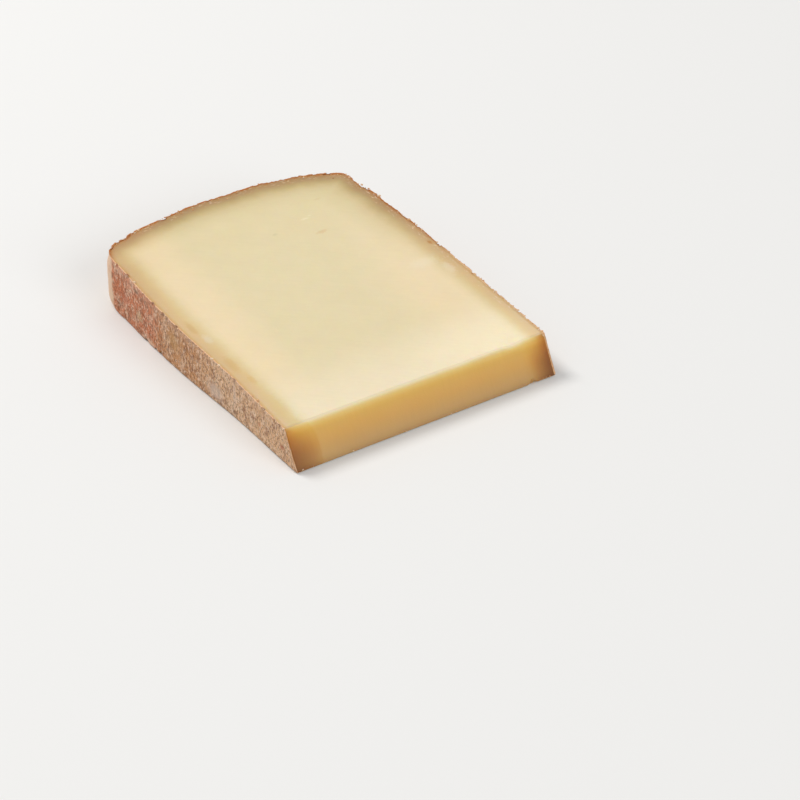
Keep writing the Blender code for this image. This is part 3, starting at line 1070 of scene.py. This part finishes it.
def rind_tree():
    tree, nodes, given = new_tree("rind wrap", {
        "object": ["Guide", "Bites"],
        "size": ["Axle", "Wedge angle", "Tip radius", "Tip slant", "Rim radius", "Depth", "Lumps", "Grain",
                 "Torn lip", "Frayed rim", "Left shoulder", "Shoulder bulge"],
        "count": ["Cells along", "Wall cells", "Edge cells", "Inner cells", "Foot cells"],
        "material": ["Material"],
    })
    curves = nodes.add("GeometryNodeObjectInfo", {"Object": given["Guide"]}, "Geometry")
    tube, way, up, deep = pressed_tube(nodes, given)
    foot = on_guide(nodes, curves, 0, way)
    spot = nodes.vector_between(nodes.fade(up, 0.5, 0.95), foot, on_guide(nodes, curves, 1, way))
    sockets = {"Curves": curves, "Factor": way, "Curve Index": 0}
    tangent = nodes.add("GeometryNodeSampleCurve", sockets, "Tangent", use_all_curves=False)
    outward = nodes.vector("CROSS_PRODUCT", (0.0, 0.0, 1.0), tangent)

    angle = nodes.product(up, given["Wedge angle"])
    tip = tip_radius_at(nodes, angle, given)
    reach = nodes.math("SUBTRACT", given["Rim radius"], given["Tip radius"])
    fore = nodes.math("DIVIDE", nodes.math("SUBTRACT", given["Rim radius"], nodes.part(spot, "Y")), reach)
    shift = nodes.product(nodes.math("SUBTRACT", tip, given["Tip radius"]), fore)

    # Where the wall will be, in millimetres, to read the noise at
    wall_radius = nodes.math("ADD", nodes.part(spot, "Y"), shift)
    wall = nodes.scaled(turned(nodes, nodes.part(spot, "X"), wall_radius, angle, given["Axle"]), 1 / MM)
    upright = nodes.vector("MULTIPLY", wall, (1.0, 1.0, 0.7))
    lumps = nodes.total(nodes.hills(upright, 8.0, 0.8), nodes.hills(upright, 2.4, 0.7, 2.0))
    grain = nodes.hills(upright, 0.9, 1.0, 3.0, 0.6)
    relief = nodes.total(nodes.product(lumps, given["Lumps"]), nodes.product(grain, given["Grain"]))

    # The left shoulder stands proud of the cut
    off_shoulder = nodes.math("SUBTRACT", way, given["Left shoulder"])
    on_left = nodes.fade(off_shoulder, -0.03, 0.0, 1.0, 0.0)
    shoulder = nodes.product(
        nodes.fade(off_shoulder, -0.023, -0.019), nodes.fade(off_shoulder, 0.02, 0.04, 1.0, 0.0)
    )
    below_edge = nodes.product(nodes.fade(up, 0.0, 0.15), nodes.fade(up, 0.75, 0.97, 1.0, 0.0))
    near_shoulder = nodes.fade(nodes.math("ABSOLUTE", off_shoulder), 0.0, 0.04, 1.0, 0.0)
    bulge = nodes.product(near_shoulder, below_edge, given["Shoulder bulge"])

    # The rim of the upper cut is frayed, and the foot is tucked in a little
    flat = nodes.vector("MULTIPLY", wall, (1.0, 1.0, 0.0))
    frayed = nodes.total(nodes.hills(flat, 3.5, 0.6, 2.0), nodes.hills(flat, 1.0, 0.6, 2.0))
    frayed = nodes.product(
        frayed, nodes.fade(up, 0.9, 0.98), nodes.between(on_left, 1.0, 0.35), given["Frayed rim"]
    )
    tuck = nodes.fade(up, 0.0, 0.04, -0.00025, 0.0)
    outer = nodes.fade(deep, 0.0, 0.5, 1.0, 0.0)
    push = nodes.product(nodes.total(relief, bulge, frayed, tuck), outer)
    push = nodes.math("SUBTRACT", push, nodes.product(deep, given["Depth"]))
    moved = nodes.vector("ADD", spot, nodes.scaled(outward, push))

    # The cut edge rises in a torn lip, and the inner layers dive under the paste
    lip = nodes.total(0.5, nodes.hills(flat, 1.6, 0.9, 2.0), nodes.hills(flat, 0.5, 0.5, 2.0))
    lip = nodes.product(nodes.math("MAXIMUM", lip, 0.0), nodes.between(on_left, 0.35, 1.0), given["Torn lip"])
    lip = nodes.product(lip, nodes.fade(deep, 0.3, 0.6, 1.0, 0.0))
    dive = nodes.fade(deep, 0.5, 0.95, 0.0, 0.0009)
    at_top = nodes.product(nodes.fade(up, 0.9, 1.0), nodes.math("SUBTRACT", lip, dive))
    at_foot = nodes.product(nodes.fade(up, 0.0, 0.1, 1.0, 0.0), dive)
    at_ends = nodes.math("MAXIMUM", nodes.fade(way, 0.0, 0.004, 1.0, 0.0), nodes.fade(way, 0.996, 1.0))
    radius = nodes.total(nodes.part(moved, "Y"), shift, nodes.product(at_ends, dive))
    place = turned(nodes, nodes.part(moved, "X"), radius, angle, given["Axle"])
    place = nodes.vector("ADD", place, nodes.join(0.0, 0.0, nodes.total(at_top, at_foot)))
    geometry = store(nodes, tube, {
        "depth": deep, "height": up, "relief": nodes.math("DIVIDE", relief, MM),
        "shoulder": shoulder, "on_left": on_left,
    })
    geometry = nodes.add("GeometryNodeSetPosition", {"Geometry": geometry, "Position": place})
    here = nodes.add("GeometryNodeInputPosition")
    sockets = {"Geometry": geometry, "Position": bitten(nodes, here, given["Bites"])}
    geometry = nodes.add("GeometryNodeSetPosition", sockets)
    geometry = nodes.add("GeometryNodeSetShadeSmooth", {"Geometry": geometry})
    return end_tree(tree, nodes, geometry, given["Material"])


rind_piece = grow("rind", rind_tree(), {
    **WEDGE, **RIND_CELLS, "Guide": rind_guide, "Rim radius": WHEEL_RADIUS, "Depth": RIND_DEPTH,
    "Lumps": 0.00018, "Grain": 0.00010, "Torn lip": 0.00035, "Frayed rim": 0.0003,
    "Left shoulder": LEFT_SHOULDER, "Shoulder bulge": 0.0008, "Material": rind,
})

# %% [markdown]
# ## Crumbs
#
# Dry crumbs hang on the rims, and a line of them on the foot of the tip cut. The tree walks along
# both rims, drops some points at random, keeps most of them in clumps, and puts a small rough ball
# on each. A few bigger crumbs have a place of their own.

# %% Crumb material
CRUMB_TONES = [
    (0.0, colour(176, 116, 66)), (0.3, colour(204, 152, 102)), (0.6, colour(222, 184, 144)),
    (1.0, colour(236, 212, 182)),
]


def crumb_finish():
    finish, nodes, shader = new_finish("crumbs")
    place = place_mm(nodes)
    skin = nodes.ramp(carried(nodes, "tone"), 1.0, CRUMB_TONES)
    shade = nodes.total(1.0, nodes.hills(place, 0.2, 0.12, 2.0))
    skin = nodes.tint(1.0, skin, nodes.join(shade, shade, shade), "MULTIPLY")
    nodes.feed(shader.inputs["Base Color"], skin)
    shader.inputs["Roughness"].default_value = 0.6
    shader.inputs["Specular IOR Level"].default_value = 0.3
    shader.inputs["Subsurface Weight"].default_value = 0.3
    shader.inputs["Subsurface Radius"].default_value = (1.0, 0.6, 0.3)
    shader.inputs["Subsurface Scale"].default_value = 0.0005
    return finish


crumb = crumb_finish()
print("crumb material has", len(crumb.node_tree.nodes), "nodes")

# %% Scatter the crumbs
# Bigger crumbs that can be told apart: (across, along, up, radius) in millimetres
BIG_CRUMBS = [
    (-50.6, 34.6, 19.2, 0.50), (-51.2, -12.0, 16.0, 0.32), (-50.3, -16.0, 15.75, 0.42), (-50.2, -20.2, 15.45, 0.48),
    (-49.6, -39.8, 14.2, 0.30), (-49.2, -42.6, 14.0, 0.42), (-49.8, -51.4, 13.4, 0.38), (-50.0, -59.4, 12.85, 0.30),
    (-15.9, 63.2, 21.0, 0.35), (-11.2, 63.1, 21.0, 0.32), (0.2, 64.7, 21.1, 0.30), (2.9, 63.1, 21.0, 0.28),
    (7.4, 64.5, 21.1, 0.30), (33.3, 61.0, 20.9, 0.30), (42.3, 55.5, 20.5, 0.28), (47.6, 53.0, 20.3, 0.55),
    (48.8, 46.7, 19.9, 0.42), (49.4, 43.3, 19.7, 0.45), (49.9, 37.4, 19.3, 0.60), (50.6, 19.4, 18.1, 0.50),
    (50.9, 11.8, 17.6, 0.35), (51.2, 2.8, 16.9, 0.45), (51.4, -4.4, 16.5, 0.35), (51.5, -13.3, 15.9, 0.30),
    (51.5, -24.5, 15.1, 0.36), (50.6, -27.5, 14.9, 0.34), (51.4, -31.8, 14.6, 0.38), (51.5, -41.9, 13.9, 0.30),
    (51.4, -56.3, 13.0, 0.36), (51.3, -58.6, 12.9, 0.40), (-43.7, -66.6, 0.3, 0.26), (-47.6, -66.4, 0.3, 0.28),
]
FOOT_POINTS = 100


def crumb_tree():
    tree, nodes, given = new_tree("crumbs on rims", {
        "object": ["Rims", "Spots"],
        "size": ["Spacing", "Smallest", "Biggest", "Stray", "Kept"],
        "count": ["Seed"],
        "material": ["Material"],
    })

    def dice(low, high, roll):
        """A random number for each crumb. Every roll is another one."""
        sockets = {2: low, 3: high, "Seed": nodes.total(given["Seed"], roll)}
        return nodes.add("FunctionNodeRandomValue", sockets, 1)

    rims = nodes.add("GeometryNodeObjectInfo", {"Object": given["Rims"]}, "Geometry")
    sockets = {"Curve": rims, "Length": given["Spacing"]}
    strewn = nodes.add("GeometryNodeCurveToPoints", sockets, mode="LENGTH")
    here = nodes.scaled(nodes.add("GeometryNodeInputPosition"), 1 / MM)
    clump = nodes.fade(nodes.noise(here, 9.0, 1.0), 0.4, 0.65, 0.15, 1.0)
    off_left = nodes.fade(nodes.part(here, "X"), -45.0, -35.0, 0.45, 1.0)
    dropped = nodes.math("GREATER_THAN", dice(0.0, 1.0, 1), nodes.product(clump, off_left, given["Kept"]))
    strewn = nodes.add("GeometryNodeDeleteGeometry", {"Geometry": strewn, "Selection": dropped})
    size = nodes.math("POWER", dice(0.0, 1.0, 2), 2.5)
    strewn = store(nodes, strewn, {"size": nodes.between(size, given["Smallest"], given["Biggest"])})
    inwards = nodes.vector("NORMALIZE", nodes.vector("MULTIPLY", here, (-1.0, -1.0, 0.0)))
    stray = nodes.vector(
        "ADD", nodes.scaled(inwards, dice(-0.2, 1.0, 3)), nodes.join(dice(-0.6, 0.6, 4), dice(-0.6, 0.6, 5), 0.0)
    )
    sockets = {"Geometry": strewn, "Offset": nodes.scaled(stray, given["Stray"])}
    strewn = nodes.add("GeometryNodeSetPosition", sockets)

    spots = nodes.add("GeometryNodeObjectInfo", {"Object": given["Spots"]}, "Geometry")
    spots = nodes.add("GeometryNodeMeshToPoints", {"Mesh": spots})
    joined = tree.nodes.new("GeometryNodeJoinGeometry")
    tree.links.new(strewn, joined.inputs[0])
    tree.links.new(spots, joined.inputs[0])
    paler_left = nodes.fade(nodes.part(here, "X"), -40.0, -48.0, 0.0, 0.35)
    points = store(nodes, joined.outputs[0], {"tone": nodes.math("ADD", dice(0.1, 0.85, 6), paler_left)})

    ball = nodes.add("GeometryNodeMeshUVSphere", {"Segments": 8, "Rings": 6, "Radius": 1.0})
    radius = nodes.add("GeometryNodeInputNamedAttribute", {"Name": "size"})
    stretch = nodes.scaled(nodes.join(dice(0.8, 1.7, 7), dice(0.7, 1.1, 8), dice(0.55, 0.9, 9)), radius)
    tumble = nodes.join(dice(-0.5, 0.5, 10), dice(-0.5, 0.5, 11), dice(0.0, 6.3, 12))
    balls = nodes.add("GeometryNodeInstanceOnPoints", {
        "Points": points, "Instance": ball, "Scale": stretch,
        "Rotation": nodes.add("FunctionNodeEulerToRotation", {0: tumble}),
    })
    real = nodes.add("GeometryNodeRealizeInstances", {"Geometry": balls})
    rough = nodes.hills(here, 0.4, 0.12 * MM, 2.0)
    normal = nodes.add("GeometryNodeInputNormal")
    real = nodes.add("GeometryNodeSetPosition", {"Geometry": real, "Offset": nodes.scaled(normal, rough)})
    real = nodes.add("GeometryNodeSetShadeSmooth", {"Geometry": real})
    return end_tree(tree, nodes, real, given["Material"])


foot_across = np.linspace(CAD_LOW.x + 1.5 * MM, CAD_HIGH.x - 1.5 * MM, FOOT_POINTS)
tip_foot = [(x, CAD_LOW.y + 0.1 * MM, 0.25 * MM) for x in foot_across.tolist()]
rims = guide("rims", [top_rim[behind_cut].tolist(), tip_foot])
spots = sized_points("spots", (np.array(BIG_CRUMBS) * MM).tolist())
crumb_piece = grow("crumbs", crumb_tree(), {
    "Rims": rims, "Spots": spots, "Spacing": 0.0007, "Smallest": 0.00010, "Biggest": 0.00034,
    "Stray": 0.0006, "Kept": 0.8, "Seed": 3, "Material": crumb,
})

# %% [markdown]
# ## Hand over
#
# The guides and the loose points have done their work. All three pieces ride on the one body, and
# together they stand for the packed solid.

for helper in (rind_guide, paste_guide, rims, bites, spots):
    bpy.data.objects.remove(helper, do_unlink=True)

for piece, slot in ((paste_piece, "paste"), (rind_piece, "rind"), (crumb_piece, "paste")):
    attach(piece, "root")
    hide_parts(NODE)
